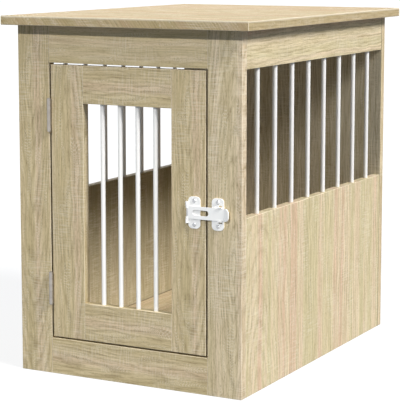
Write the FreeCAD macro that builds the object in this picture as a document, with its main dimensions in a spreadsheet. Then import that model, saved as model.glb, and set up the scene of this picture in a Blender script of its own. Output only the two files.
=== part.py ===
import FreeCAD, Part
import os

# Dog crate end table: a box of foil-faced boards with a framed, barred door in front and a barred window
# in each side. X runs to the right as seen from the front, the front faces -Y, and Z is up. The origin
# lies on the ground under the middle of the table top.

os.makedirs("parts", exist_ok=True)
document = FreeCAD.newDocument("dog_crate_end_table")

# ---------------------------------------------------------------------------------------------------
# Driving sizes, in millimetres
# ---------------------------------------------------------------------------------------------------

driving_sizes = {
    # body and table top
    "body_width": 410,
    "body_depth": 580,
    "body_height": 575,
    "board": 15,
    "edge_round": 0.8,
    "top_thickness": 15,
    "top_overhang": 20,
    "top_edge_round": 1.2,
    # face frame, sides and floor
    "frame_stile_width": 60,
    "frame_top_rail_height": 60,
    "frame_bottom_rail_height": 60,
    "side_rail_height": 60,
    "side_panel_height": 285,
    "floor_underside": 30,
    # bars
    "bar_radius": 3.75,
    "bar_socket_depth": 12,
    "bar_end_room": 0.5,
    "side_bar_count": 8,
    "side_bar_end_distance": 51,
    "door_bar_count": 4,
    # door
    "door_clearance": 3,
    "door_member_width": 61,
    # butt hinges
    "hinge_length": 53,
    "hinge_end_distance": 55,
    "leaf_thickness": 1.2,
    "leaf_width": 13,
    "knuckle_radius": 3.5,
    "knuckle_count": 5,
    "knuckle_play": 0.3,
    "barrel_standoff": 0.4,
    "hinge_pin_radius": 1.5,
    "hinge_pin_head_radius": 2.6,
    "hinge_pin_head_height": 1,
    "hinge_screw_spacing": 30,
    # flip latch
    "latch_height": 290.5,
    "plate_width": 21,
    "plate_height": 50.5,
    "plate_thickness": 1.5,
    "plate_corner_radius": 7,
    "plate_screw_spacing": 38,
    "door_plate_setback": 19.5,
    "strike_plate_setback": 18.8,
    "pivot_setback": 1.6,
    "pivot_radius": 1,
    "pivot_ear_radius": 2.6,
    "pivot_ear_length": 6.8,
    "hasp_width": 20,
    "hasp_thickness": 1.5,
    "hasp_standoff": 0.2,
    "hasp_knuckle_radius": 2.1,
    "hasp_knuckle_length": 3,
    "hasp_reach": 66,
    "hasp_tab_length": 9,
    "hasp_tab_angle": 22,
    "hasp_corner_radius": 7,
    "hasp_slot_start": 10,
    "hasp_slot_length": 28,
    "hasp_slot_width": 8.7,
    "lug_width": 7,
    "lug_reach": 3.6,
    "lug_thickness": 1.2,
    "lug_window_height": 2.6,
    "lug_setback": 4.5,
    "latch_play": 0.3,
    "strap_pin_gap": 0.24,
    # knock-down fittings
    "cam_radius": 7.5,
    "cam_height": 12,
    "cam_recess": 0.3,
    "cam_channel_play": 0.4,
    "cam_setback": 24,
    "cam_slot_width": 1.6,
    "cam_slot_length": 9,
    "cam_slot_depth": 1.5,
    "bolt_thread_radius": 2.5,
    "bolt_thread_length": 10.5,
    "bolt_shank_radius": 3,
    "bolt_neck_radius": 2,
    "bolt_neck_length": 4,
    "bolt_head_radius": 3,
    "bolt_head_length": 3,
    "dowel_radius": 4,
    "dowel_length": 28,
    "dowel_seat": 10,
    "dowel_spacing": 32,
    "rail_dowel_spacing": 26,
    "rail_fitting_edge": 17,
    "side_fitting_setback": 75,
    "panel_fitting_height": 80,
    "panel_fitting_drop": 55,
    "floor_fitting_setback": 95,
    "cross_fitting_setback": 85,
    # screws
    "cone_head_radius": 3,
    "cone_head_height": 1.6,
    "cone_screw_length": 12,
    "pan_head_radius": 3.5,
    "pan_head_face_radius": 2.45,
    "pan_head_height": 2,
    "pan_screw_length": 12,
    "small_screw_radius": 1.5,
    "long_head_radius": 4.8,
    "long_head_height": 4,
    "long_shank_radius": 2.5,
    "long_screw_length": 50,
    "drive_slot_share": 1.1,
    "drive_slot_width": 0.9,
    "drive_slot_depth": 1,
    # clearances
    "fit": 0.1,
    "running_fit": 0.06,
    "end_room": 0.5,
}

sheet = document.addObject("Spreadsheet::Sheet", "size")
for row, (alias, number) in enumerate(driving_sizes.items(), start=1):
    sheet.set(f"A{row}", alias)
    sheet.set(f"B{row}", str(number))
    sheet.setAlias(f"B{row}", alias)
document.recompute()


def size(alias):
    """The number that the sheet holds under an alias."""
    return float(sheet.get(alias))


# ---------------------------------------------------------------------------------------------------
# Places that several pieces share, as expressions on the sheet
# ---------------------------------------------------------------------------------------------------

front_face = "(-size.body_depth / 2)"
frame_back = f"({front_face} + size.board)"
rear_face = "(size.body_depth / 2)"
cabin_rear = f"({rear_face} - size.board)"
side_run = f"({cabin_rear} - {frame_back})"
outer_face = "(size.body_width / 2)"
inner_face = f"({outer_face} - size.board)"
side_middle = f"({outer_face} - size.board / 2)"
frame_middle = f"({front_face} + size.board / 2)"
back_middle = f"({rear_face} - size.board / 2)"
opening_edge = f"({outer_face} - size.frame_stile_width)"
opening_bottom = "(size.frame_bottom_rail_height)"
opening_top = "(size.body_height - size.frame_top_rail_height)"
side_window_bottom = "(size.side_panel_height)"
side_window_top = "(size.body_height - size.side_rail_height)"
floor_middle = "(size.floor_underside + size.board / 2)"
leaf_edge = f"({opening_edge} - size.door_clearance)"
leaf_bottom = f"({opening_bottom} + size.door_clearance)"
leaf_top = f"({opening_top} - size.door_clearance)"
door_window_edge = f"({leaf_edge} - size.door_member_width)"
door_window_bottom = f"({leaf_bottom} + size.door_member_width)"
door_window_top = f"({leaf_top} - size.door_member_width)"
hinge_axis_x = f"(-{opening_edge} + size.door_clearance / 2)"
hinge_axis_y = f"({front_face} - size.knuckle_radius - size.barrel_standoff)"

X_AXIS = FreeCAD.Vector(1, 0, 0)
Y_AXIS = FreeCAD.Vector(0, 1, 0)
Z_AXIS = FreeCAD.Vector(0, 0, 1)
UPRIGHT = FreeCAD.Rotation()


def facing(direction, side=None):
    """The turn that takes local +Z to a direction and, if a side is given, local +X to that side."""
    if side is None:
        return FreeCAD.Rotation(Z_AXIS, direction)
    return FreeCAD.Rotation(side, direction.cross(side), direction, "ZXY")


# ---------------------------------------------------------------------------------------------------
# Shape helpers
# ---------------------------------------------------------------------------------------------------


def bind(item, **expressions):
    for name, expression in expressions.items():
        item.setExpression(name, expression)
    return item


def place(item, x, y, z, turn=UPRIGHT):
    item.Placement = FreeCAD.Placement(FreeCAD.Vector(), turn)
    for axis, expression in zip("xyz", (x, y, z)):
        item.setExpression(f"Placement.Base.{axis}", expression)
    return item


def block(name, width, depth, height, x="0", y="0", z="0", turn=UPRIGHT):
    """A square block whose lowest corner lies at x, y, z."""
    solid = document.addObject("Part::Box", name)
    bind(solid, Length=width, Width=depth, Height=height)
    return place(solid, x, y, z, turn)


def rod(name, radius, length, x="0", y="0", z="0", turn=UPRIGHT):
    """A round rod that starts at x, y, z and runs along its own Z."""
    solid = document.addObject("Part::Cylinder", name)
    bind(solid, Radius=radius, Height=length)
    return place(solid, x, y, z, turn)


def cone(name, start_radius, end_radius, length, x="0", y="0", z="0", turn=UPRIGHT):
    solid = document.addObject("Part::Cone", name)
    bind(solid, Radius1=start_radius, Radius2=end_radius, Height=length)
    return place(solid, x, y, z, turn)


def joined(name, *solids):
    fusion = document.addObject("Part::MultiFuse", name)
    fusion.Shapes = list(solids)
    fusion.Refine = True
    return fusion


def group(name, solids):
    """Separate solids that share one node."""
    compound = document.addObject("Part::Compound", name)
    compound.Links = list(solids)
    return compound


def cut(name, base, tools):
    result = document.addObject("Part::Cut", name)
    result.Base = base
    result.Tool = group(f"{name}_cutters", tools)
    return result


def copy_of(master, name, x, y, z, turn):
    link = document.addObject("App::Link", name)
    link.LinkedObject = master
    return place(link, x, y, z, turn)


def rounded(name, base, radius, edge_numbers):
    fillet = document.addObject("Part::Fillet", name)
    fillet.Base = base
    fillet.Edges = [(number, radius, radius) for number in edge_numbers]
    return fillet


def edges_along(item, axis):
    """The numbers of an item's straight edges that run along an axis."""
    document.recompute()
    numbers = []
    for number, edge in enumerate(item.Shape.Edges, start=1):
        if isinstance(edge.Curve, Part.Line) and abs(edge.tangentAt(edge.FirstParameter).dot(axis)) > 0.999:
            numbers.append(number)
    return numbers


nodes = {}
blanks = {}
borings = {}
BLOCK_EDGES = range(1, 13)


def board(name, width, depth, height, x, y, z, edge="edge_round"):
    """A board with every edge eased. Its holes are collected and bored at the end."""
    blank = block(f"{name}_blank", width, depth, height, x, y, z)
    blanks[name] = rounded(f"{name}_eased", blank, size(edge), BLOCK_EDGES)
    borings[name] = []


def bore(board_names, cutter, name, x, y, z, turn=UPRIGHT):
    """Puts a copy of a cutter into one or more boards."""
    for board_name in board_names:
        borings[board_name].append(copy_of(cutter, f"{name}_in_{board_name}", x, y, z, turn))


# ---------------------------------------------------------------------------------------------------
# Boards of the body
# ---------------------------------------------------------------------------------------------------

SIDES = {"left": "-1", "right": "1"}

board(
    "table_top",
    "size.body_width + 2 * size.top_overhang",
    "size.body_depth + 2 * size.top_overhang",
    "size.top_thickness",
    f"-{outer_face} - size.top_overhang",
    f"{front_face} - size.top_overhang",
    "size.body_height",
    edge="top_edge_round",
)
for side_name, sign in SIDES.items():
    stile_start = f"-{outer_face}" if sign == "-1" else opening_edge
    wall_start = f"-{outer_face}" if sign == "-1" else inner_face
    board(
        f"front_{side_name}_stile",
        "size.frame_stile_width", "size.board", "size.body_height",
        stile_start, front_face, "0",
    )
    board(
        f"{side_name}_top_rail",
        "size.board", side_run, "size.side_rail_height",
        wall_start, frame_back, side_window_top,
    )
    board(
        f"{side_name}_lower_panel",
        "size.board", side_run, "size.side_panel_height",
        wall_start, frame_back, "0",
    )
board(
    "front_top_rail",
    f"2 * {opening_edge}", "size.board", "size.frame_top_rail_height",
    f"-{opening_edge}", front_face, opening_top,
)
board(
    "front_bottom_rail",
    f"2 * {opening_edge}", "size.board", "size.frame_bottom_rail_height",
    f"-{opening_edge}", front_face, "0",
)
board(
    "back_panel",
    "size.body_width", "size.board", "size.body_height",
    f"-{outer_face}", cabin_rear, "0",
)
board(
    "floor_board",
    f"2 * {inner_face}", side_run, "size.board",
    f"-{inner_face}", frame_back, "size.floor_underside",
)

# ---------------------------------------------------------------------------------------------------
# Boards of the door
# ---------------------------------------------------------------------------------------------------

leaf_height = f"({leaf_top} - {leaf_bottom})"
board(
    "door_hinge_stile",
    "size.door_member_width", "size.board", leaf_height,
    f"-{leaf_edge}", front_face, leaf_bottom,
)
board(
    "door_latch_stile",
    "size.door_member_width", "size.board", leaf_height,
    door_window_edge, front_face, leaf_bottom,
)
board(
    "door_bottom_rail",
    f"2 * {door_window_edge}", "size.board", "size.door_member_width",
    f"-{door_window_edge}", front_face, leaf_bottom,
)
board(
    "door_top_rail",
    f"2 * {door_window_edge}", "size.board", "size.door_member_width",
    f"-{door_window_edge}", front_face, door_window_top,
)

# ---------------------------------------------------------------------------------------------------
# Bars: round rods whose ends sit in blind holes in the boards above and below
# ---------------------------------------------------------------------------------------------------

bar_socket = rod("bar_socket", "size.bar_radius + size.fit", "size.bar_socket_depth + size.edge_round")


def bar(name, x, y, window_bottom, window_top, lower_board, upper_board):
    reach = "(size.bar_socket_depth - size.bar_end_room)"
    length = f"{window_top} - {window_bottom} + 2 * {reach}"
    nodes[name] = rod(f"{name}_rod", "size.bar_radius", length, x, y, f"{window_bottom} - {reach}")
    bore([lower_board], bar_socket, name, x, y, f"{window_bottom} - size.bar_socket_depth")
    bore([upper_board], bar_socket, name, x, y, f"{window_top} + size.bar_socket_depth", facing(-Z_AXIS))


side_bar_count = int(size("side_bar_count"))
side_bar_pitch = f"(({side_run} - 2 * size.side_bar_end_distance) / (size.side_bar_count - 1))"
for side_name, sign in SIDES.items():
    for number in range(side_bar_count):
        steps = number - (side_bar_count - 1) / 2
        bar(
            f"{side_name}_side_bar_{number + 1}",
            f"{sign} * {side_middle}",
            f"{steps} * {side_bar_pitch}",
            side_window_bottom,
            side_window_top,
            f"{side_name}_lower_panel",
            f"{side_name}_top_rail",
        )

door_bar_count = int(size("door_bar_count"))
for number in range(door_bar_count):
    share = f"{number + 1} / (size.door_bar_count + 1)"
    bar(
        f"door_bar_{number + 1}",
        f"-{door_window_edge} + 2 * {door_window_edge} * {share}",
        frame_middle,
        door_window_bottom,
        door_window_top,
        "door_bottom_rail",
        "door_top_rail",
    )

# ---------------------------------------------------------------------------------------------------
# Knock-down fittings. In its own frame a fitting lies with the face between the two boards at Z = 0:
# the bolt screws into the first board below it and runs up through the edge of the second one, where a
# cam lock, let into the face on the +X side, turns round its head.
# ---------------------------------------------------------------------------------------------------

cam_face = "(size.board / 2)"
cam_bore_depth = "(size.cam_height + size.cam_recess + size.fit)"
bolt_end = "(size.cam_setback + size.bolt_head_length / 2)"
bolt_head_start = f"({bolt_end} - size.bolt_head_length)"
bolt_neck_start = f"({bolt_head_start} - size.bolt_neck_length)"

cam_blank = rod(
    "cam_blank", "size.cam_radius", "size.cam_height",
    f"{cam_face} - size.cam_recess - size.cam_height", "0", "size.cam_setback", facing(X_AXIS),
)
cam_channel = rod(
    "cam_channel", "size.bolt_head_radius + size.cam_channel_play",
    f"size.cam_radius + 2 * size.fit + size.bolt_head_length / 2 + size.end_room",
    "0", "0", "size.cam_setback - size.cam_radius - 2 * size.fit",
)
cam_slots = [
    block(
        f"cam_slot_{name}", "size.cam_slot_depth + size.end_room", width, height,
        f"{cam_face} - size.cam_recess - size.cam_slot_depth", f"-({width}) / 2",
        f"size.cam_setback - ({height}) / 2",
    )
    for name, width, height in (
        ("across", "size.cam_slot_length", "size.cam_slot_width"),
        ("along", "size.cam_slot_width", "size.cam_slot_length"),
    )
]
cam_lock = cut("cam_lock", cam_blank, [cam_channel, joined("cam_cross", *cam_slots)])

cam_bolt = joined(
    "cam_bolt",
    rod("bolt_thread", "size.bolt_thread_radius", "size.bolt_thread_length", z="-size.bolt_thread_length"),
    rod("bolt_shank", "size.bolt_shank_radius", bolt_neck_start),
    rod("bolt_neck", "size.bolt_neck_radius", "size.bolt_neck_length", z=bolt_neck_start),
    rod("bolt_head", "size.bolt_head_radius", "size.bolt_head_length", z=bolt_head_start),
)
fitting_bore = joined(
    "fitting_bore",
    rod(
        "thread_bore", "size.bolt_thread_radius + size.fit", "size.bolt_thread_length + size.end_room",
        z="-size.bolt_thread_length - size.end_room",
    ),
    rod("shank_bore", "size.bolt_shank_radius + size.fit", "size.cam_setback"),
    rod(
        "cam_bore", "size.cam_radius + size.fit", f"{cam_bore_depth} + size.end_room",
        f"{cam_face} - {cam_bore_depth}", "0", "size.cam_setback", facing(X_AXIS),
    ),
)
dowel = rod("dowel", "size.dowel_radius", "size.dowel_length", z="-size.dowel_seat")
dowel_bore = rod(
    "dowel_bore", "size.dowel_radius + size.fit", "size.dowel_length + 2 * size.end_room",
    z="-size.dowel_seat - size.end_room",
)
cam_locks = []
cam_bolts = []
body_dowels = []
door_dowels = []


def fit_cam(name, boards, x, y, z, towards, cam_side):
    """A cam bolt and its lock: the bolt runs towards the second board, the lock faces the cam side."""
    turn = facing(towards, cam_side)
    cam_locks.append(copy_of(cam_lock, f"{name}_cam", x, y, z, turn))
    cam_bolts.append(copy_of(cam_bolt, f"{name}_bolt", x, y, z, turn))
    bore(boards, fitting_bore, f"{name}_bore", x, y, z, turn)


def fit_dowel(name, boards, dowels, x, y, z, towards):
    turn = facing(towards)
    dowels.append(copy_of(dowel, f"{name}_dowel", x, y, z, turn))
    bore(boards, dowel_bore, f"{name}_dowel_bore", x, y, z, turn)


panel_fitting_top = "(size.side_panel_height - size.panel_fitting_drop)"
side_fitting = f"({cabin_rear} - size.side_fitting_setback)"
floor_fitting = f"({cabin_rear} - size.floor_fitting_setback)"
cross_fitting = f"({outer_face} - size.cross_fitting_setback)"

for side_name, sign in SIDES.items():
    outward = X_AXIS * int(sign)
    stile = f"front_{side_name}_stile"
    top_rail = f"{side_name}_top_rail"
    lower_panel = f"{side_name}_lower_panel"
    wall_x = f"{sign} * {side_middle}"
    rail_height = f"{side_window_top} + size.rail_fitting_edge"
    fit_cam(f"{top_rail}_front", [stile, top_rail], wall_x, frame_back, rail_height, Y_AXIS, -outward)
    fit_dowel(
        f"{top_rail}_front", [stile, top_rail], body_dowels,
        wall_x, frame_back, f"{rail_height} + size.rail_dowel_spacing", Y_AXIS,
    )
    for level, height, inward in (
        ("low", "size.panel_fitting_height", "1"),
        ("high", panel_fitting_top, "-1"),
    ):
        name = f"{lower_panel}_{level}"
        fit_cam(name, [stile, lower_panel], wall_x, frame_back, height, Y_AXIS, -outward)
        fit_dowel(
            name, [stile, lower_panel], body_dowels,
            wall_x, frame_back, f"{height} + {inward} * size.dowel_spacing", Y_AXIS,
        )
    for end, end_sign in (("front", "-1"), ("rear", "1")):
        name = f"{top_rail}_{end}_to_top"
        along = f"{end_sign} * {side_fitting}"
        fit_cam(name, ["table_top", top_rail], wall_x, along, "size.body_height", -Z_AXIS, -outward)
        fit_dowel(
            name, ["table_top", top_rail], body_dowels,
            wall_x, f"{along} - {end_sign} * size.dowel_spacing", "size.body_height", -Z_AXIS,
        )
        name = f"floor_{side_name}_{end}"
        along = f"{end_sign} * {floor_fitting}"
        wall_face = f"{sign} * {inner_face}"
        fit_cam(name, [lower_panel, "floor_board"], wall_face, along, floor_middle, -outward, -Z_AXIS)
        fit_dowel(
            name, [lower_panel, "floor_board"], body_dowels,
            wall_face, f"{along} - {end_sign} * size.dowel_spacing", floor_middle, -outward,
        )
    for rail, rail_bottom in (("front_top_rail", opening_top), ("front_bottom_rail", "0")):
        name = f"{rail}_{side_name}"
        edge_x = f"{sign} * {opening_edge}"
        height = f"{rail_bottom} + size.rail_fitting_edge"
        fit_cam(name, [stile, rail], edge_x, frame_middle, height, -outward, Y_AXIS)
        fit_dowel(
            name, [stile, rail], body_dowels,
            edge_x, frame_middle, f"{height} + size.rail_dowel_spacing", -outward,
        )
    cross_x = f"{sign} * {cross_fitting}"
    dowel_x = f"{sign} * ({cross_fitting} - size.dowel_spacing)"
    name = f"back_{side_name}_to_top"
    fit_cam(name, ["table_top", "back_panel"], cross_x, back_middle, "size.body_height", -Z_AXIS, -Y_AXIS)
    fit_dowel(
        name, ["table_top", "back_panel"], body_dowels,
        dowel_x, back_middle, "size.body_height", -Z_AXIS,
    )
    fit_dowel(
        f"front_{side_name}_to_top", ["table_top", "front_top_rail"], body_dowels,
        dowel_x, frame_middle, "size.body_height", -Z_AXIS,
    )
    fit_dowel(
        f"floor_{side_name}_to_front", ["front_bottom_rail", "floor_board"], body_dowels,
        dowel_x, frame_back, floor_middle, Y_AXIS,
    )
    door_stile = "door_hinge_stile" if sign == "-1" else "door_latch_stile"
    for rail, rail_bottom in (("door_top_rail", door_window_top), ("door_bottom_rail", leaf_bottom)):
        height = f"({rail_bottom} + size.rail_fitting_edge)"
        for place_name, rise in (("low", "0"), ("high", "size.rail_dowel_spacing")):
            fit_dowel(
                f"{rail}_{side_name}_{place_name}", [door_stile, rail], door_dowels,
                f"{sign} * {door_window_edge}", frame_middle, f"{height} + {rise}", -outward,
            )

nodes["cam_locks"] = group("cam_locks_group", cam_locks)
nodes["cam_bolts"] = group("cam_bolts_group", cam_bolts)
nodes["body_dowels"] = group("body_dowels_group", body_dowels)
nodes["door_dowels"] = group("door_dowels_group", door_dowels)

# ---------------------------------------------------------------------------------------------------
# Screws. In its own frame a screw points up +Z, and what it holds down lies above Z = 0.
# ---------------------------------------------------------------------------------------------------


def cross_recess(name, head_radius, top):
    """A cross-shaped recess in a screw head whose outer face lies at the given height."""
    arm = f"({head_radius} * size.drive_slot_share)"
    arms = [
        block(
            f"{name}_{way}", width, depth, "size.drive_slot_depth + size.end_room",
            f"-({width}) / 2", f"-({depth}) / 2", f"{top} - size.end_room",
        )
        for way, width, depth in (
            ("across", arm, "size.drive_slot_width"),
            ("along", "size.drive_slot_width", arm),
        )
    ]
    return joined(name, *arms)


def flush_screw(name, head_radius, head_height, shank_radius, length, grow):
    """A countersunk screw, or with grow the room that it needs."""
    return joined(
        name,
        cone(f"{name}_head", f"{head_radius} + {grow}", f"{shank_radius} + {grow}", head_height),
        rod(f"{name}_shank", f"{shank_radius} + {grow}", f"{length} + {grow}"),
    )


hinge_screw = cut(
    "hinge_screw",
    flush_screw(
        "hinge_screw_blank", "size.cone_head_radius", "size.cone_head_height",
        "size.small_screw_radius", "size.cone_screw_length", "0",
    ),
    [cross_recess("hinge_screw_recess", "size.cone_head_radius", "0")],
)
hinge_screw_bore = flush_screw(
    "hinge_screw_bore", "size.cone_head_radius", "size.cone_head_height",
    "size.small_screw_radius", "size.cone_screw_length", "size.fit",
)
long_screw = cut(
    "long_screw",
    flush_screw(
        "long_screw_blank", "size.long_head_radius", "size.long_head_height",
        "size.long_shank_radius", "size.long_screw_length", "0",
    ),
    [cross_recess("long_screw_recess", "size.long_head_radius", "0")],
)
long_screw_bore = flush_screw(
    "long_screw_bore", "size.long_head_radius", "size.long_head_height",
    "size.long_shank_radius", "size.long_screw_length", "size.fit",
)
pan_head = cone(
    "pan_head", "size.pan_head_radius", "size.pan_head_face_radius", "size.pan_head_height",
    turn=facing(-Z_AXIS),
)
plate_screw = cut(
    "plate_screw",
    joined(
        "plate_screw_blank",
        pan_head,
        rod("plate_screw_shank", "size.small_screw_radius", "size.pan_screw_length"),
    ),
    [cross_recess("plate_screw_recess", "size.pan_head_radius", "-size.pan_head_height")],
)
plate_screw_bore = rod(
    "plate_screw_bore", "size.small_screw_radius + size.fit", "size.pan_screw_length + size.end_room",
)

back_screws = []


def fit_back_screw(name, second_board, x, z):
    turn = facing(-Y_AXIS)
    back_screws.append(copy_of(long_screw, f"{name}_screw", x, rear_face, z, turn))
    bore(["back_panel", second_board], long_screw_bore, f"{name}_screw_bore", x, rear_face, z, turn)


for side_name, sign in SIDES.items():
    wall_x = f"{sign} * {side_middle}"
    rail_middle = f"{side_window_top} + size.side_rail_height / 2"
    lower_panel = f"{side_name}_lower_panel"
    fit_back_screw(f"{side_name}_rail", f"{side_name}_top_rail", wall_x, rail_middle)
    fit_back_screw(f"{side_name}_panel_low", lower_panel, wall_x, "size.panel_fitting_height")
    fit_back_screw(f"{side_name}_panel_high", lower_panel, wall_x, panel_fitting_top)
    fit_back_screw(f"{side_name}_floor", "floor_board", f"{sign} * {cross_fitting}", floor_middle)
nodes["back_panel_screws"] = group("back_panel_screws_group", back_screws)

# ---------------------------------------------------------------------------------------------------
# Butt hinges: two leaves lie on the edges of the left door gap, and their knuckles meet on a pin just in
# front of the face. The frame leaf has the end knuckles.
# ---------------------------------------------------------------------------------------------------

knuckle_count = int(size("knuckle_count"))
knuckle_pitch = "(size.hinge_length / size.knuckle_count)"
leaf_hole_y = f"({front_face} + size.board / 2)"
frame_leaf_x = f"(-{opening_edge})"
door_leaf_x = f"(-{leaf_edge} - size.leaf_thickness)"
frame_hinge_screws = []
door_hinge_screws = []


def hinge_leaf(name, plate_x, knuckle_numbers, bottom, screws, screw_x, screw_direction, board_name):
    plate = block(
        f"{name}_plate", "size.leaf_thickness", "size.leaf_width", "size.hinge_length",
        plate_x, front_face, bottom,
    )
    pieces = [plate]
    for number in knuckle_numbers:
        start = f"{bottom} + {number} * {knuckle_pitch} + size.knuckle_play / 2"
        height = f"{knuckle_pitch} - size.knuckle_play"
        pieces.append(
            rod(f"{name}_knuckle_{number}", "size.knuckle_radius", height, hinge_axis_x, hinge_axis_y, start)
        )
        pieces.append(
            block(
                f"{name}_neck_{number}", "size.leaf_thickness",
                f"size.knuckle_radius + size.barrel_standoff", height,
                plate_x, hinge_axis_y, start,
            )
        )
    pin_bore = rod(
        f"{name}_pin_bore", "size.hinge_pin_radius + size.running_fit", "size.hinge_length",
        hinge_axis_x, hinge_axis_y, bottom,
    )
    cutters = [pin_bore]
    for level, sign in (("low", "-1"), ("high", "1")):
        height = f"{bottom} + size.hinge_length / 2 + {sign} * size.hinge_screw_spacing / 2"
        turn = facing(screw_direction)
        screws.append(copy_of(hinge_screw, f"{name}_screw_{level}", screw_x, leaf_hole_y, height, turn))
        cutters.append(copy_of(hinge_screw_bore, f"{name}_hole_{level}", screw_x, leaf_hole_y, height, turn))
        bore([board_name], hinge_screw_bore, f"{name}_pilot_{level}", screw_x, leaf_hole_y, height, turn)
    nodes[name] = cut(f"{name}_cut", joined(f"{name}_blank", *pieces), cutters)


HINGES = {
    "upper": f"({leaf_top} - size.hinge_end_distance - size.hinge_length)",
    "lower": f"({leaf_bottom} + size.hinge_end_distance)",
}
for hinge_name, bottom in HINGES.items():
    hinge_leaf(
        f"{hinge_name}_hinge_frame_leaf", frame_leaf_x, range(0, knuckle_count, 2), bottom,
        frame_hinge_screws, f"{frame_leaf_x} + size.leaf_thickness", -X_AXIS, "front_left_stile",
    )
    hinge_leaf(
        f"{hinge_name}_hinge_door_leaf", door_leaf_x, range(1, knuckle_count, 2), bottom,
        door_hinge_screws, door_leaf_x, X_AXIS, "door_hinge_stile",
    )
    pin_name = f"{hinge_name}_hinge_pin"
    pin_head = "size.hinge_pin_head_height"
    nodes[pin_name] = joined(
        f"{pin_name}_fused",
        rod(
            f"{pin_name}_shaft", "size.hinge_pin_radius", "size.hinge_length",
            hinge_axis_x, hinge_axis_y, bottom,
        ),
        rod(
            f"{pin_name}_foot", "size.hinge_pin_head_radius", pin_head,
            hinge_axis_x, hinge_axis_y, f"{bottom} - {pin_head}",
        ),
        rod(
            f"{pin_name}_head", "size.hinge_pin_head_radius", pin_head,
            hinge_axis_x, hinge_axis_y, f"{bottom} + size.hinge_length",
        ),
    )
nodes["frame_hinge_screws"] = group("frame_hinge_screws_group", frame_hinge_screws)
nodes["door_hinge_screws"] = group("door_hinge_screws_group", door_hinge_screws)

# ---------------------------------------------------------------------------------------------------
# Flip latch: a plate with two ears on the door, a hasp that swings on a pin between the ears, and a
# strike plate on the frame whose two lugs grip the hasp's edges.
# ---------------------------------------------------------------------------------------------------

plate_front = f"({front_face} - size.plate_thickness)"
door_plate_x = f"({leaf_edge} - size.door_plate_setback)"
strike_plate_x = f"({opening_edge} + size.strike_plate_setback)"
door_plate_left = f"({door_plate_x} - size.plate_width / 2)"
pivot_x = f"({door_plate_left} - size.pivot_setback)"
pivot_y = f"({front_face} - size.pivot_ear_radius - size.running_fit)"
hasp_bottom = "(size.latch_height - size.hasp_width / 2)"
hasp_top = "(size.latch_height + size.hasp_width / 2)"
hasp_back = f"({plate_front} - size.hasp_standoff)"


def latch_plate(name, centre_x):
    """A flat plate with rounded corners and its two screw holes still to be bored."""
    blank = block(
        f"{name}_blank", "size.plate_width", "size.plate_thickness", "size.plate_height",
        f"{centre_x} - size.plate_width / 2", plate_front, "size.latch_height - size.plate_height / 2",
    )
    return rounded(f"{name}_shaped", blank, size("plate_corner_radius"), edges_along(blank, Y_AXIS))


def plate_fixings(name, centre_x, board_name):
    """The two screws of a latch plate, and the cutters for the plate's own holes."""
    screws = []
    cutters = []
    for level, sign in (("low", "-1"), ("high", "1")):
        height = f"size.latch_height + {sign} * size.plate_screw_spacing / 2"
        turn = facing(Y_AXIS)
        screws.append(copy_of(plate_screw, f"{name}_screw_{level}", centre_x, plate_front, height, turn))
        cutters.append(copy_of(plate_screw_bore, f"{name}_hole_{level}", centre_x, plate_front, height, turn))
        bore([board_name], plate_screw_bore, f"{name}_pilot_{level}", centre_x, plate_front, height, turn)
    return screws, cutters


door_plate_screws, door_plate_holes = plate_fixings("door_plate", door_plate_x, "door_latch_stile")
ears = [
    rod(
        f"pivot_ear_{level}", "size.pivot_ear_radius", "size.pivot_ear_length",
        pivot_x, pivot_y, start,
    )
    for level, start in (
        ("low", f"{hasp_bottom} - size.latch_play - size.pivot_ear_length"),
        ("high", f"{hasp_top} + size.latch_play"),
    )
]
ear_necks = [
    block(
        f"pivot_neck_{level}", "size.pivot_setback + size.plate_corner_radius / 2", "size.plate_thickness",
        "size.pivot_ear_length", pivot_x, plate_front, start,
    )
    for level, start in (
        ("low", f"{hasp_bottom} - size.latch_play - size.pivot_ear_length"),
        ("high", f"{hasp_top} + size.latch_play"),
    )
]
ear_span = f"(size.hasp_width + 2 * size.latch_play + 2 * size.pivot_ear_length)"
ear_bore = rod(
    "pivot_ear_bore", "size.pivot_radius + size.running_fit", ear_span,
    pivot_x, pivot_y, f"size.latch_height - {ear_span} / 2",
)
knuckle_notch = block(
    "hasp_knuckle_notch",
    f"{pivot_x} + size.hasp_knuckle_radius + size.latch_play - {door_plate_left} + size.end_room",
    "size.plate_thickness + 2 * size.end_room", f"size.hasp_width + 2 * size.latch_play",
    f"{door_plate_left} - size.end_room", f"{plate_front} - size.end_room",
    f"{hasp_bottom} - size.latch_play",
)
nodes["latch_door_plate"] = cut(
    "latch_door_plate_cut",
    joined("latch_door_plate_with_ears", latch_plate("latch_door_plate", door_plate_x), *ears, *ear_necks),
    [ear_bore, knuckle_notch, *door_plate_holes],
)
nodes["door_plate_screws"] = group("door_plate_screws_group", door_plate_screws)
nodes["latch_pivot_pin"] = rod(
    "latch_pivot_pin_rod", "size.pivot_radius", ear_span,
    pivot_x, pivot_y, f"size.latch_height - {ear_span} / 2",
)

# The hasp: two short knuckles, a flat strap with a slot, and an end bent forward for the finger
strap_start = f"({pivot_x} + size.pivot_radius + size.strap_pin_gap)"
hasp_bend = f"({pivot_x} + size.hasp_reach)"
strap = block(
    "hasp_strap", f"{hasp_bend} - {strap_start}", "size.hasp_thickness", "size.hasp_width",
    strap_start, f"{hasp_back} - size.hasp_thickness", hasp_bottom,
)
tab_turn = FreeCAD.Rotation(Z_AXIS, -size("hasp_tab_angle"))
tab_blank = block(
    "hasp_tab_blank", "size.hasp_tab_length", "size.hasp_thickness", "size.hasp_width",
    "0", "-size.hasp_thickness", "0",
)
tab_rounded = rounded(
    "hasp_tab_rounded", tab_blank, size("hasp_corner_radius"),
    [number for number in edges_along(tab_blank, Y_AXIS)
     if tab_blank.Shape.Edges[number - 1].CenterOfMass.x > size("hasp_tab_length") / 2],
)
tab = copy_of(tab_rounded, "hasp_tab", hasp_bend, hasp_back, hasp_bottom, tab_turn)
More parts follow.
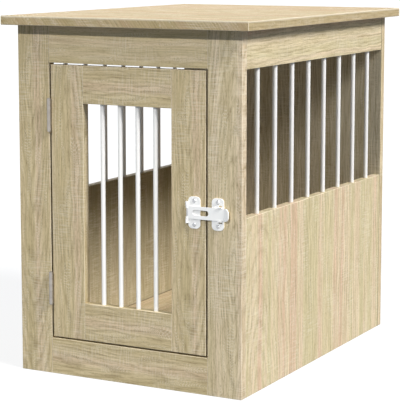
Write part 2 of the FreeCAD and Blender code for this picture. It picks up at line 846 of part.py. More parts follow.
bend_filler = rod("hasp_bend", "size.hasp_thickness / 2", "size.hasp_width", hasp_bend,
                  f"{hasp_back} - size.hasp_thickness / 2", hasp_bottom)
hasp_knuckles = [
    rod(
        f"hasp_knuckle_{level}", "size.hasp_knuckle_radius", "size.hasp_knuckle_length",
        pivot_x, pivot_y, start,
    )
    for level, start in (("low", hasp_bottom), ("high", f"{hasp_top} - size.hasp_knuckle_length"))
]
slot_start = f"({pivot_x} + size.hasp_slot_start + size.hasp_slot_width / 2)"
slot_end = f"({slot_start} + size.hasp_slot_length - size.hasp_slot_width)"
slot_depth = "(size.hasp_thickness + 2 * size.end_room)"
slot_y = f"({hasp_back} + size.end_room)"
slot = joined(
    "hasp_slot",
    rod("hasp_slot_start", "size.hasp_slot_width / 2", slot_depth, slot_start, slot_y, "size.latch_height",
        facing(-Y_AXIS)),
    rod("hasp_slot_end", "size.hasp_slot_width / 2", slot_depth, slot_end, slot_y, "size.latch_height",
        facing(-Y_AXIS)),
    block("hasp_slot_middle", f"{slot_end} - {slot_start}", slot_depth, "size.hasp_slot_width",
          slot_start, f"{slot_y} - {slot_depth}", "size.latch_height - size.hasp_slot_width / 2"),
)
hasp_pin_bore = rod(
    "hasp_pin_bore", "size.pivot_radius + size.running_fit", "size.hasp_width", pivot_x, pivot_y, hasp_bottom,
)
hasp_necks = [
    block(f"hasp_neck_{level}", f"{strap_start} - {pivot_x} + size.hasp_thickness", "size.hasp_thickness",
          "size.hasp_knuckle_length", pivot_x, f"{hasp_back} - size.hasp_thickness", start)
    for level, start in (("low", hasp_bottom), ("high", f"{hasp_top} - size.hasp_knuckle_length"))
]
nodes["latch_hasp"] = cut(
    "latch_hasp_cut",
    joined("latch_hasp_blank", strap, tab, bend_filler, *hasp_knuckles, *hasp_necks),
    [slot, hasp_pin_bore],
)

# The strike plate: the lugs are cut out of the plate on three sides and bent forward
strike_screws, strike_holes = plate_fixings("strike_plate", strike_plate_x, "front_right_stile")
lug_x = f"({strike_plate_x} + size.lug_setback - size.lug_width / 2)"
lugs = []
lug_windows = []
for level, lug_z, window_z in (
    (
        "low",
        f"{hasp_bottom} - size.latch_play - size.lug_thickness",
        f"{hasp_bottom} - size.latch_play - size.lug_thickness - size.lug_window_height",
    ),
    ("high", f"{hasp_top} + size.latch_play", f"{hasp_top} + size.latch_play + size.lug_thickness"),
):
    lugs.append(
        block(
            f"strike_lug_{level}",
            "size.lug_width", "size.lug_reach + size.plate_thickness", "size.lug_thickness",
            lug_x, f"{plate_front} - size.lug_reach", lug_z,
        )
    )
    lug_windows.append(
        block(
            f"strike_window_{level}", "size.lug_width - 2 * size.end_room",
            "size.plate_thickness + 2 * size.end_room", "size.lug_window_height",
            f"{lug_x} + size.end_room", f"{plate_front} - size.end_room", window_z,
        )
    )
nodes["strike_plate"] = cut(
    "strike_plate_cut",
    joined("strike_plate_blank_with_lugs", latch_plate("strike_plate", strike_plate_x), *lugs),
    [*lug_windows, *strike_holes],
)
nodes["strike_plate_screws"] = group("strike_plate_screws_group", strike_screws)

# ---------------------------------------------------------------------------------------------------
# The boards with their holes, the checks, and the files
# ---------------------------------------------------------------------------------------------------

for name, blank in blanks.items():
    nodes[name] = cut(f"{name}_bored", blank, borings[name])
for name, item in nodes.items():
    item.Label = name
document.recompute()

for item in document.Objects:
    if "Invalid" in item.State or "Error" in item.State:
        raise RuntimeError(f"{item.Label} did not build: {item.State}")
for name, item in nodes.items():
    if item.Shape.isNull() or not item.Shape.isValid():
        raise RuntimeError(f"{name} has no valid shape")
for name, item in nodes.items():
    item.Shape.exportStep(f"parts/{name}.step")
print(f"{len(nodes)} nodes written")
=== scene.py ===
import math

import bpy
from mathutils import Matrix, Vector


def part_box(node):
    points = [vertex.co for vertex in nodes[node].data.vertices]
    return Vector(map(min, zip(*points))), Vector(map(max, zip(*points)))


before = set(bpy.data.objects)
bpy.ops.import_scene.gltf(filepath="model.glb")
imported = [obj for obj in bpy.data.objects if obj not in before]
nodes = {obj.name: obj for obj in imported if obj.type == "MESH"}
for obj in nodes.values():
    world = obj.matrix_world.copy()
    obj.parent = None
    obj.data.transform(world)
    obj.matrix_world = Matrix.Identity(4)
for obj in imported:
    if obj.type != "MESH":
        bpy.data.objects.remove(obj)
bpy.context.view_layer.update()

# ---------------------------------------------------------------------------------------------------
# Face frame, sides, back and floor: 15 mm chipboard with a printed paper foil in a pale, rough-sawn
# oak pattern. The foil wraps the eased edges, and the boards are pulled together by hidden fittings.
# ---------------------------------------------------------------------------------------------------


def colour(code):
    """An sRGB hex code as the linear colour that a socket takes."""
    channels = [int(code[start:start + 2], 16) / 255 for start in (1, 3, 5)]
    linear = [c / 12.92 if c <= 0.04045 else ((c + 0.055) / 1.055) ** 2.4 for c in channels]
    return (*linear, 1.0)


def add(tree, kind, inputs=None, **settings):
    """A new node with its settings, its inputs filled with values or with other nodes' outputs."""
    node = tree.nodes.new(kind)
    for name, value in settings.items():
        setattr(node, name, value)
    for key, value in (inputs or {}).items():
        if isinstance(value, bpy.types.NodeSocket):
            tree.links.new(value, node.inputs[key])
        else:
            node.inputs[key].default_value = value
    return node


def new_material(name):
    """An empty node material and its node tree."""
    material = bpy.data.materials.new(name)
    material.use_nodes = True
    material.node_tree.nodes.clear()
    return material, material.node_tree


def dress(names, material):
    """Puts one material in every slot of the named CAD nodes."""
    for name in names:
        for slot in nodes[name].material_slots:
            slot.material = material


# Paper foil, gravure-printed and lacquered matt: beige tone bands along the grain, arched growth
# rings, fine fibres and open pores, and pale saw marks and ray flecks across the grain.
FOIL_TONES = ("#D2C095", "#DAC79E", "#E0CCA6", "#DEC7A4")
STRIP_TONES = ("#BBA87D", "#C3AF86", "#C8B38C", "#C3AB86")
FOIL_DARK = "#8A7650"
# FOIL_PALE is the pale of the saw marks and flecks, and also the painted highlight on eased edges;
# JOINT_SHADE is painted shade in the joints and on the eased edges of the back and the floor
FOIL_PALE = "#F0E6D0"
JOINT_SHADE = "#4A3C28"
TONE_STOPS = (0.34, 0.45, 0.56, 0.66)  # where the four tones lie on the noise
FOIL_SIZES_MM = {
    # pattern: its size across the grain, along the grain and through the board
    "tone": (20, 1500, 60),
    "streak": (4.2, 150, 4.2),
    "fibre": (1.5, 38, 1.5),
    "pore": (1.1, 5, 1.1),
    "patch": (40, 110, 40),
    "saw": (26, 2.1, 26),
    "column": (9, 70, 9),
}
FOIL_SWAYS_MM = ((70, 300, 22), (13, 42, 5))  # bends of the grain: width, length and swing
RING_LINE = 0.32  # the line's share of the distance between two rings
RING_RIPPLE_MM = 3.0  # how far the streaks push the rings
FLECK_PITCH_MM = 4.8  # from one fleck of a column to the next
FLECK_CLIMB_MM = 46.0  # how far one column of flecks may lie above its neighbour
STRIP_SLANT = 0.8  # how far the strip's grain leans: 0 is upright
PAINTED_EDGE_LEVEL = 0.5  # strength of the painted highlight (and painted shade) on eased edges: 1 is FOIL_PALE
ARRIS_M = (0.0015, 0.0035)  # the painted highlight on the strip's upper arris fades out between these depths
SEAM_SHADE = 0.7  # how dark a seam's painted shade is: 1 is JOINT_SHADE


def oak_foil(name, across, along, through, arch=0, shift=0, taper=0.1, ring=5.5, tones=FOIL_TONES,
             rings=0.32, streaks=0.20, fibres=0.32, saws=0.32, seams=(), edges=FOIL_PALE,
             banded=False, top_face=0.0, inside=None):
    """The foil on one board.

    across, along and through are the axes on which its grain lies. arch is where the growth rings
    arch, shift moves the print along the grain, and ring is the distance between two rings, all in
    mm. taper is how fast the rings close. tones are the four shades of the ground. rings, streaks,
    fibres and saws are the strengths of those marks, and edges is the colour painted on the eased
    edges, a painted highlight when pale and painted shade when dark. Each seam is a line of painted
    shade where the board butts against its neighbour: an axis, a place on it and half the line's
    width, in m. With banded, the narrow edges wear a strip whose grain runs through the board's
    thickness, and its upper arris, just below the height top_face in m, gets a painted highlight.
    inside is an axis, a sense along it and four darker shades, painted shade on the face that looks
    that way.
    """
    material, tree = new_material(name)
    coordinates = add(tree, "ShaderNodeTexCoord")
    axes = add(tree, "ShaderNodeSeparateXYZ", {0: coordinates.outputs["Object"]})
    facing = add(tree, "ShaderNodeVectorMath", {0: coordinates.outputs["Normal"]}, operation="ABSOLUTE")
    facing = add(tree, "ShaderNodeSeparateXYZ", {0: facing.outputs[0]})
    place = add(tree, "ShaderNodeCombineXYZ", {
        "X": axes.outputs[across], "Y": axes.outputs[along], "Z": axes.outputs[through],
    }).outputs[0]
    if banded:
        slant = add(tree, "ShaderNodeMath", {
            0: axes.outputs[through], 1: STRIP_SLANT, 2: axes.outputs[along],
        }, operation="MULTIPLY_ADD")
        strip = add(tree, "ShaderNodeCombineXYZ", {"X": slant.outputs[0], "Y": axes.outputs[through]})
        end_strip = add(tree, "ShaderNodeCombineXYZ", {
            "X": axes.outputs[through], "Y": axes.outputs[across],
        })
        at_end = add(tree, "ShaderNodeMath", {
            0: facing.outputs[along], 1: 0.5,
        }, operation="GREATER_THAN")
        strip = add(tree, "ShaderNodeMix", {
            0: at_end.outputs[0], 4: strip.outputs[0], 5: end_strip.outputs[0],
        }, data_type="VECTOR").outputs[1]
        on_face = add(tree, "ShaderNodeMath", {
            0: facing.outputs[through], 1: 0.5,
        }, operation="GREATER_THAN")
        place = add(tree, "ShaderNodeMix", {0: on_face.outputs[0], 4: strip, 5: place},
                    data_type="VECTOR").outputs[1]
    millimetres = add(tree, "ShaderNodeVectorMath", {
        0: place, 1: (1000, 1000, 1000), 2: (-arch, shift, 0),
    }, operation="MULTIPLY_ADD").outputs[0]
    # the grain sways in slow bends and small waves, and every mark of the print follows it
    drift = None
    for width, length, swing in FOIL_SWAYS_MM:
        stretched = add(tree, "ShaderNodeVectorMath", {
            0: millimetres, 1: (1 / width, 1 / length, 1 / width),
        }, operation="MULTIPLY")
        sway = add(tree, "ShaderNodeTexNoise", {
            "Vector": stretched.outputs[0], "Scale": 1.0, "Detail": 1.0,
        })
        drift = add(tree, "ShaderNodeMath", {
            0: sway.outputs["Fac"], 1: swing, 2: -swing / 2 if drift is None else drift,
        }, operation="MULTIPLY_ADD").outputs[0]
    swayed = add(tree, "ShaderNodeCombineXYZ", {"X": drift})
    swayed = add(tree, "ShaderNodeVectorMath", {
        0: millimetres, 1: swayed.outputs[0],
    }, operation="ADD").outputs[0]
    pattern = {}
    for layer, sizes in FOIL_SIZES_MM.items():
        stretched = add(tree, "ShaderNodeVectorMath", {0: swayed, 1: [1 / size for size in sizes]},
                        operation="MULTIPLY")
        pattern[layer] = add(tree, "ShaderNodeTexNoise", {
            "Vector": stretched.outputs[0], "Scale": 1.0,
            "Detail": 0.6 if layer == "tone" else 2.0, "Roughness": 0.55,
        }).outputs["Fac"]

    # growth rings: a slightly leaning cone, cut by the board's face, so that its lines close in arches
    local = add(tree, "ShaderNodeSeparateXYZ", {0: swayed})
    depth = add(tree, "ShaderNodeMath", {
        0: local.outputs["Y"], 1: taper, 2: drift,
    }, operation="MULTIPLY_ADD")
    radius = add(tree, "ShaderNodeVectorMath", {
        0: add(tree, "ShaderNodeCombineXYZ", {
            "X": local.outputs["X"], "Y": depth.outputs[0],
        }).outputs[0],
    }, operation="LENGTH")
    ripple = add(tree, "ShaderNodeMath", {
        0: pattern["streak"], 1: RING_RIPPLE_MM, 2: radius.outputs["Value"],
    }, operation="MULTIPLY_ADD")
    fold = add(tree, "ShaderNodeMath", {0: ripple.outputs[0], 1: ring / 2}, operation="PINGPONG")
    line = add(tree, "ShaderNodeMapRange", {
        "Value": fold.outputs[0], "From Min": 0.0, "From Max": ring * RING_LINE, "To Min": 1.0,
        "To Max": 0.0,
    }, interpolation_type="SMOOTHSTEP")
    strength = add(tree, "ShaderNodeMapRange", {
        "Value": pattern["patch"], "From Min": 0.35, "From Max": 0.65, "To Min": rings * 0.4,
        "To Max": rings,
    })
    ring_lines = add(tree, "ShaderNodeMath", {
        0: line.outputs[0], 1: strength.outputs[0],
    }, operation="MULTIPLY")

    # dark marks add up: rings, streaks, fibres and pores
    dark = ring_lines.outputs[0]
    for layer, start, end, weight in (
        ("streak", 0.36, 0.68, streaks),
        ("fibre", 0.40, 0.64, fibres),
        ("pore", 0.54, 0.66, 0.24),
    ):
        mark = add(tree, "ShaderNodeMapRange", {
            "Value": pattern[layer], "From Min": start, "From Max": end, "To Min": 0.0, "To Max": weight,
        })
        dark = add(tree, "ShaderNodeMath", {0: dark, 1: mark.outputs[0]}, operation="ADD").outputs[0]

    # pale marks: fine saw marks across the grain in patches, and columns of short curved ray flecks
    saw = add(tree, "ShaderNodeMapRange", {
        "Value": pattern["saw"], "From Min": 0.42, "From Max": 0.70, "To Min": 0.0, "To Max": saws,
    })
    climb = add(tree, "ShaderNodeMath", {0: pattern["column"], 1: FLECK_CLIMB_MM, 2: local.outputs["Y"]},
                operation="MULTIPLY_ADD")
    fleck = add(tree, "ShaderNodeMath", {
        0: climb.outputs[0], 1: FLECK_PITCH_MM / 2,
    }, operation="PINGPONG")
    fleck = add(tree, "ShaderNodeMapRange", {
        "Value": fleck.outputs[0], "From Min": 0.2, "From Max": 1.4, "To Min": 0.32, "To Max": 0.0,
    }, interpolation_type="SMOOTHSTEP")
    pale = None
    for mark, where, start, end in ((saw, "patch", 0.44, 0.60), (fleck, "column", 0.54, 0.60)):
        area = add(tree, "ShaderNodeMapRange", {
            "Value": pattern[where], "From Min": start, "From Max": end,
        })
        mark = add(tree, "ShaderNodeMath", {
            0: mark.outputs[0], 1: area.outputs[0],
        }, operation="MULTIPLY")
        pale = mark.outputs[0] if pale is None else add(
            tree, "ShaderNodeMath", {0: pale, 1: mark.outputs[0]}, operation="MAXIMUM").outputs[0]

    def ramp(shades):
        """The tone bands in four shades."""
        bands = add(tree, "ShaderNodeValToRGB", {0: pattern["tone"]})
        elements = bands.color_ramp.elements
        elements[0].position, elements[0].color = TONE_STOPS[0], colour(shades[0])
        elements[1].position, elements[1].color = TONE_STOPS[3], colour(shades[3])
        for stop, shade in zip(TONE_STOPS[1:3], shades[1:3]):
            elements.new(stop).color = colour(shade)
        return bands.outputs["Color"]

    ground = ramp(tones)
    # painted shade: the face that looks along the axis and sense of inside takes the darker shades
    if inside is not None:
        axis, sense, shades = inside
        turned = add(tree, "ShaderNodeSeparateXYZ", {0: coordinates.outputs["Normal"]})
        inward = add(tree, "ShaderNodeMath", {0: turned.outputs[axis], 1: sense}, operation="MULTIPLY")
        inward = add(tree, "ShaderNodeMath", {0: inward.outputs[0], 1: 0.5}, operation="GREATER_THAN")
        ground = add(tree, "ShaderNodeMix", {0: inward.outputs[0], 6: ground, 7: ramp(shades)},
                     data_type="RGBA").outputs[2]
    if banded:
        ground = add(tree, "ShaderNodeMix", {0: on_face.outputs[0], 6: ramp(STRIP_TONES), 7: ground},
                     data_type="RGBA").outputs[2]
    printed = add(tree, "ShaderNodeMix", {0: dark, 6: ground, 7: colour(FOIL_DARK)},
                  data_type="RGBA").outputs[2]
    printed = add(tree, "ShaderNodeMix", {0: pale, 6: printed, 7: colour(FOIL_PALE)},
                  data_type="RGBA").outputs[2]

    # painted highlight on the eased edges, where the surface turns from one flat to the next: paler
    # foil, and painted shade instead on boards whose edges are JOINT_SHADE
    flattest = add(tree, "ShaderNodeMath", {
        0: facing.outputs["X"], 1: facing.outputs["Y"],
    }, operation="MAXIMUM")
    flattest = add(tree, "ShaderNodeMath", {
        0: flattest.outputs[0], 1: facing.outputs["Z"],
    }, operation="MAXIMUM")
    painted_edge = add(tree, "ShaderNodeMapRange", {
        "Value": flattest.outputs[0], "From Min": 0.98, "From Max": 0.85, "To Min": 0.0,
        "To Max": PAINTED_EDGE_LEVEL,
    }).outputs[0]
    if banded:
        drop = add(tree, "ShaderNodeMapRange", {
            "Value": axes.outputs[through],
            "From Min": top_face - ARRIS_M[1], "From Max": top_face - ARRIS_M[0],
            "To Min": 0.0, "To Max": PAINTED_EDGE_LEVEL,
        })
        off_face = add(tree, "ShaderNodeMath", {0: 1.0, 1: on_face.outputs[0]}, operation="SUBTRACT")
        arris_highlight = add(tree, "ShaderNodeMath", {
            0: drop.outputs[0], 1: off_face.outputs[0],
        }, operation="MULTIPLY")
        painted_edge = add(tree, "ShaderNodeMath", {
            0: painted_edge, 1: arris_highlight.outputs[0],
        }, operation="MAXIMUM").outputs[0]
    printed = add(tree, "ShaderNodeMix", {0: painted_edge, 6: printed, 7: colour(edges)},
                  data_type="RGBA").outputs[2]

    # painted shade: a dark line where the board butts against its neighbour
    for axis, middle, half_width in seams:
        within = add(tree, "ShaderNodeMath", {0: axes.outputs[axis], 1: middle, 2: half_width},
                     operation="COMPARE")
        shade = add(tree, "ShaderNodeMath", {0: within.outputs[0], 1: SEAM_SHADE}, operation="MULTIPLY")
        printed = add(tree, "ShaderNodeMix", {0: shade.outputs[0], 6: printed, 7: colour(JOINT_SHADE)},
                      data_type="RGBA").outputs[2]

    sheen = add(tree, "ShaderNodeMapRange", {
        "Value": dark, "From Min": 0.0, "From Max": 0.8, "To Min": 0.72, "To Max": 0.84,
    })
    relief = add(tree, "ShaderNodeMath", {0: pale, 1: dark}, operation="SUBTRACT")
    bump = add(tree, "ShaderNodeBump", {
        "Height": relief.outputs[0], "Strength": 0.5, "Distance": 0.00012,
    })
    shader = add(tree, "ShaderNodeBsdfPrincipled", {
        "Base Color": printed, "Roughness": sheen.outputs[0], "IOR": 1.5, "Specular IOR Level": 0.1,
        "Normal": bump.outputs[0],
    })
    add(tree, "ShaderNodeOutputMaterial", {"Surface": shader.outputs[0]})
    return material


# Boards from other stretches of the print: banded with pink, and faintly pink. The cool and the
# grey shades are painted shade on the inner faces of the back and of the left panel, in the shade
# behind the bars.
SIDE_TONES = ("#D9CBA2", "#E2D2AA", "#E8D3B1", "#E3C4A6")
PINK_TONES = ("#DBCAA4", "#E4D2AE", "#E9D6B5", "#E4CEAD")
BACK_INSIDE_SHADE_TONES = ("#CDC1A3", "#D5CAAE", "#DACFB5", "#D6C9B1")
LEFT_INSIDE_SHADE_TONES = ("#B4A989", "#BCB090", "#C2B596", "#BDAF93")
# Painted shade: a dark seam down the sides' rear edges where they meet the back panel, along the floor's
# two side edges, and on the eased edges of the back panel and the floor
rear_seam = ("Y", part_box("right_lower_panel")[1].y, 0.0016)
floor_seams = [("X", corner.x, 0.004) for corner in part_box("floor_board")]
for board, across, along, through, arch, shift, taper, looks in (
    # board, its grain's axes, arch and shift in mm, taper, other looks
    ("front_left_stile", "X", "Z", "Y", -178, -545, 0.11, {"ring": 4.5}),
    ("front_right_stile", "X", "Z", "Y", 196, -255, 0.12,
     {"ring": 4.5, "tones": PINK_TONES, "saws": 0.46}),
    ("front_top_rail", "Z", "X", "Y", 700, -200, 0.08,
     {"rings": 0.12, "streaks": 0.10, "fibres": 0.26}),
    ("front_bottom_rail", "Z", "X", "Y", 20, 210, 0.08, {}),
    ("left_top_rail", "Z", "Y", "X", 540, 130, 0.08, {"tones": SIDE_TONES, "seams": [rear_seam]}),
    ("right_top_rail", "Z", "Y", "X", 500, -260, 0.06,
     {"tones": SIDE_TONES, "rings": 0.26, "seams": [rear_seam]}),
    ("left_lower_panel", "Y", "Z", "X", 60, 300, 0.12,
     {"tones": SIDE_TONES, "rings": 0.2, "streaks": 0.26, "fibres": 0.24, "seams": [rear_seam],
      "inside": ("X", 1, LEFT_INSIDE_SHADE_TONES)}),
    ("right_lower_panel", "Y", "Z", "X", -225, 60, 0.24,
     {"ring": 9.0, "tones": SIDE_TONES, "rings": 0.22, "streaks": 0.27, "fibres": 0.22,
      "seams": [rear_seam]}),
    ("back_panel", "X", "Z", "Y", -40, -250, 0.10,
     {"edges": JOINT_SHADE, "inside": ("Y", -1, BACK_INSIDE_SHADE_TONES)}),
    ("floor_board", "X", "Y", "Z", 60, 20, 0.10, {"edges": JOINT_SHADE, "seams": floor_seams}),
):
    dress([board], oak_foil(f"oak_foil_{board}", across, along, through, arch, shift, taper, **looks))

# ---------------------------------------------------------------------------------------------------
# Table top: the same board with the grain from left to right, warmer in tone, and a separate strip
# of foil ironed onto its four edges, whose grain stands nearly upright.
# ---------------------------------------------------------------------------------------------------

# Written darker than the other boards: the lamps light a level face more than an upright one
TOP_TONES = ("#B1A17A", "#BAA780", "#BEA47E", "#B59574")
# The eased edges and the strip's upper arris carry a painted highlight in FOIL_PALE
dress(["table_top"], oak_foil(
    "oak_foil_table_top", "Y", "X", "Z", arch=-60, shift=140, taper=0.08, banded=True,
    top_face=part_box("table_top")[1].z, tones=TOP_TONES))

# ---------------------------------------------------------------------------------------------------
# Door: four foil-faced members on dowels, the grain upright in the stiles and level in the rails.
# ---------------------------------------------------------------------------------------------------

for board, across, along, through, arch, shift, taper in (
    # board, its grain's axes, arch and shift in mm, taper
    ("door_hinge_stile", "X", "Z", "Y", -104, -330, 0.10),
    ("door_latch_stile", "X", "Z", "Y", 116, -492, 0.12),
    ("door_top_rail", "Z", "X", "Y", 470, -40, 0.10),
    ("door_bottom_rail", "Z", "X", "Y", 84, -20, 0.10),
):
    dress([board], oak_foil(f"oak_foil_{board}", across, along, through, arch, shift, taper))

# ---------------------------------------------------------------------------------------------------
# Bars: round steel, powder-coated white and baked, let into blind holes in the boards above and
# below. The coat is smooth and semi-gloss, with a faint orange-peel ripple.
# ---------------------------------------------------------------------------------------------------


def white_coat(name, shade, shadow, ripple_mm, roughness):
    """White powder coat or enamel: one shade that dulls in slow patches, over a fine ripple."""
    patch_mm = 45
    material, tree = new_material(name)
    coordinates = add(tree, "ShaderNodeTexCoord")
    clouds = add(tree, "ShaderNodeTexNoise", {
        "Vector": coordinates.outputs["Object"], "Scale": 1000 / patch_mm, "Detail": 3.0,
    })
    tint = add(tree, "ShaderNodeMix", {0: clouds.outputs["Fac"], 6: colour(shade), 7: colour(shadow)},
               data_type="RGBA")
    ripple = add(tree, "ShaderNodeTexNoise", {
        "Vector": coordinates.outputs["Object"], "Scale": 1000 / ripple_mm, "Detail": 1.0,
    })
    sheen = add(tree, "ShaderNodeMapRange", {
        "Value": clouds.outputs["Fac"], "From Min": 0.3, "From Max": 0.7,
        "To Min": roughness - 0.04, "To Max": roughness + 0.06,
    })
    bump = add(tree, "ShaderNodeBump", {
        "Height": ripple.outputs["Fac"], "Strength": 0.12, "Distance": 0.00004,
    })
    shader = add(tree, "ShaderNodeBsdfPrincipled", {
        "Base Color": tint.outputs[2], "Roughness": sheen.outputs[0], "IOR": 1.5,
        "Normal": bump.outputs[0],
    })
    add(tree, "ShaderNodeOutputMaterial", {"Surface": shader.outputs[0]})
    return material


bars = [name for name in nodes if "_side_bar_" in name or name.startswith("door_bar_")]
dress(bars, white_coat("white_powder_coat", "#F8F5EF", "#EFECE6", ripple_mm=1.4, roughness=0.28))

# ---------------------------------------------------------------------------------------------------
# Hinges: two steel butt hinges in the gap beside the door, rolled round a pin and nickel-plated,
# with a fine grain from rolling along the knuckle.
# ---------------------------------------------------------------------------------------------------


def plated_steel(name, shade, shadow, roughness, grain_mm, grain_stretch):
    """Plated metal whose fine lines run along Z, with dull patches where it was handled."""
    patch_mm = 12
    material, tree = new_material(name)
    coordinates = add(tree, "ShaderNodeTexCoord")
    stretched = add(tree, "ShaderNodeVectorMath", {
        0: coordinates.outputs["Object"],
        1: (1000 / grain_mm, 1000 / grain_mm, 1000 / (grain_mm * grain_stretch)),
    }, operation="MULTIPLY")
    lines = add(tree, "ShaderNodeTexNoise", {
        "Vector": stretched.outputs[0], "Scale": 1.0, "Detail": 2.0,
    })
    clouds = add(tree, "ShaderNodeTexNoise", {
        "Vector": coordinates.outputs["Object"], "Scale": 1000 / patch_mm, "Detail": 2.0,
    })
    tint = add(tree, "ShaderNodeMix", {0: clouds.outputs["Fac"], 6: colour(shade), 7: colour(shadow)},
               data_type="RGBA")
    sheen = add(tree, "ShaderNodeMath", {0: lines.outputs["Fac"], 1: 0.2, 2: roughness - 0.1},
                operation="MULTIPLY_ADD")
    bump = add(tree, "ShaderNodeBump", {
        "Height": lines.outputs["Fac"], "Strength": 0.3, "Distance": 0.00003,
    })
    shader = add(tree, "ShaderNodeBsdfPrincipled", {
        "Base Color": tint.outputs[2], "Metallic": 1.0, "Roughness": sheen.outputs[0],
        "Normal": bump.outputs[0],
    })
    add(tree, "ShaderNodeOutputMaterial", {"Surface": shader.outputs[0]})
    return material


hinge_pieces = [name for name in nodes if "_hinge_frame_leaf" in name or "_hinge_door_leaf" in name]
hinge_pieces += [name for name in nodes if name.endswith("_hinge_pin")]
dress(hinge_pieces, plated_steel(
    "nickel_plated_steel", "#B9B3AC", "#98938C", roughness=0.42, grain_mm=0.6, grain_stretch=12))

# ---------------------------------------------------------------------------------------------------
# Latch: pressed steel plates and a flip hasp, stove-enamelled white, held by zinc-plated screws.
# ---------------------------------------------------------------------------------------------------

dress(["latch_door_plate", "latch_hasp", "strike_plate"],
      white_coat("white_stove_enamel", "#FFFDF9", "#FAF8F3", ripple_mm=2.2, roughness=0.22))
dress(["latch_pivot_pin", "door_plate_screws", "strike_plate_screws"], plated_steel(
    "bright_zinc_plate", "#D9DADB", "#BFC1C4", roughness=0.34, grain_mm=0.8, grain_stretch=1.5))

# ---------------------------------------------------------------------------------------------------
# Fittings inside the boards: die-cast zinc cam locks, steel bolts and screws, and beech dowels.
# ---------------------------------------------------------------------------------------------------

dress(["cam_locks"], plated_steel(
    "die_cast_zinc", "#A7A9AB", "#8C8E91", roughness=0.48, grain_mm=0.9, grain_stretch=1.0))
dress(["cam_bolts", "back_panel_screws", "frame_hinge_screws", "door_hinge_screws"], plated_steel(
    "blue_zinc_plate", "#B4B7BB", "#94989E", roughness=0.36, grain_mm=0.7, grain_stretch=1.3))

# Beech dowels: turned rod, pinkish tan with short dark flecks, fluted and dry
fleck_mm = 1.2
beech, tree = new_material("beech_dowel")
coordinates = add(tree, "ShaderNodeTexCoord")
flecks = add(tree, "ShaderNodeTexNoise", {
    "Vector": coordinates.outputs["Object"], "Scale": 1000 / fleck_mm, "Detail": 2.0,
})
tint = add(tree, "ShaderNodeMix", {0: flecks.outputs["Fac"], 6: colour("#D9B78C"), 7: colour("#BE9467")},
           data_type="RGBA")
bump = add(tree, "ShaderNodeBump", {
    "Height": flecks.outputs["Fac"], "Strength": 0.3, "Distance": 0.0001,
})
shader = add(tree, "ShaderNodeBsdfPrincipled", {
    "Base Color": tint.outputs[2], "Roughness": 0.7, "Normal": bump.outputs[0],
})
add(tree, "ShaderNodeOutputMaterial", {"Surface": shader.outputs[0]})
dress(["body_dowels", "door_dowels"], beech)

# ---------------------------------------------------------------------------------------------------
# Studio: a pale matt floor that runs out to white where the camera sees it, a crisp lamp from the
# front, a broad one from the upper right, and a weak fill from behind on the left.
# ---------------------------------------------------------------------------------------------------

WHITE = (1, 1, 1, 1)
FLOOR_GLOW = 0.8  # the floor's share of plain white; the rest of it takes light and shadow
SKY_LIGHT = (0.172, 0.203, 0.248, 1)
floor_mesh = bpy.data.meshes.new("studio_floor")
reach = 30.0  # m
floor_mesh.from_pydata(
    [(-reach, -reach, 0), (reach, -reach, 0), (reach, reach, 0), (-reach, reach, 0)], [], [(0, 1, 2, 3)])
floor = bpy.data.objects.new("studio_floor", floor_mesh)
bpy.context.scene.collection.objects.link(floor)
floor_paint, tree = new_material("matt_studio_paint")
rays = add(tree, "ShaderNodeLightPath")
seen = add(tree, "ShaderNodeMath", {0: rays.outputs["Is Camera Ray"], 1: rays.outputs["Is Glossy Ray"]},
           operation="MAXIMUM")
share = add(tree, "ShaderNodeMath", {0: seen.outputs[0], 1: FLOOR_GLOW}, operation="MULTIPLY")
paint = add(tree, "ShaderNodeMix", {0: seen.outputs[0], 6: colour("#74797F"), 7: WHITE},
            data_type="RGBA")
matt = add(tree, "ShaderNodeBsdfDiffuse", {"Color": paint.outputs[2]})
glow = add(tree, "ShaderNodeEmission", {"Color": WHITE, "Strength": 1.0})
mixed = add(tree, "ShaderNodeMixShader", {0: share.outputs[0], 1: matt.outputs[0], 2: glow.outputs[0]})
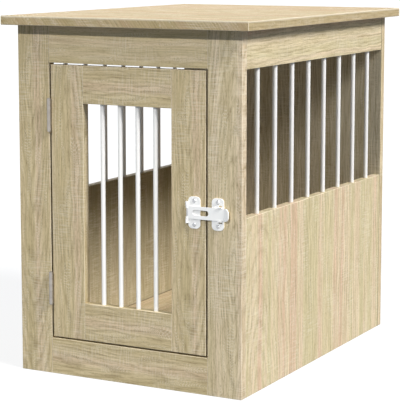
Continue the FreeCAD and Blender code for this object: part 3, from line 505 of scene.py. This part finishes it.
add(tree, "ShaderNodeOutputMaterial", {"Surface": mixed.outputs[0]})
floor_mesh.materials.append(floor_paint)

world = bpy.data.worlds.new("studio_world")
bpy.context.scene.world = world
world.use_nodes = True
tree = world.node_tree
tree.nodes.clear()
rays = add(tree, "ShaderNodeLightPath")
seen = add(tree, "ShaderNodeMath", {0: rays.outputs["Is Camera Ray"], 1: rays.outputs["Is Glossy Ray"]},
           operation="MAXIMUM")
seen = add(tree, "ShaderNodeMath", {0: seen.outputs[0], 1: rays.outputs["Is Transmission Ray"]},
           operation="MAXIMUM")
sky_colour = add(tree, "ShaderNodeMix", {0: seen.outputs[0], 6: SKY_LIGHT, 7: WHITE}, data_type="RGBA")
sky = add(tree, "ShaderNodeBackground", {"Color": sky_colour.outputs[2], "Strength": 1.0})
add(tree, "ShaderNodeOutputWorld", {"Surface": sky.outputs[0]})

for lamp, towards, light, spread in (
    # lamp, direction towards it, light on a surface that faces it (1 shows a colour as written), degrees
    ("key_lamp", (0.0, -0.35, 0.275), 0.585, 2.5),
    ("side_lamp", (0.70, -0.13, 0.63), 1.24, 19.0),
    ("back_fill", (-0.55, 0.8, 0.10), 0.58, 40.0),
):
    data = bpy.data.lights.new(lamp, "SUN")
    data.energy = light * math.pi
    data.angle = math.radians(spread)
    holder = bpy.data.objects.new(lamp, data)
    bpy.context.scene.collection.objects.link(holder)
    level = math.hypot(towards[0], towards[1])
    holder.rotation_euler = (math.atan2(level, towards[2]), 0, math.atan2(towards[0], -towards[1]))

# Camera: from the front and right, a little above the table top and looking slightly down
camera_data = bpy.data.cameras.new("camera")
camera_data.lens = 141.68
camera_data.sensor_width = 36
camera_data.shift_y = -0.1
camera_data.clip_start, camera_data.clip_end = 0.1, 100
camera = bpy.data.objects.new("camera", camera_data)
bpy.context.scene.collection.objects.link(camera)
camera.location = (1.2932, -2.4631, 0.6992)
camera.rotation_euler = (math.radians(90 - 7.647), 0, math.radians(28.120))
bpy.context.scene.camera = camera
bpy.context.scene.view_settings.view_transform = "Standard"
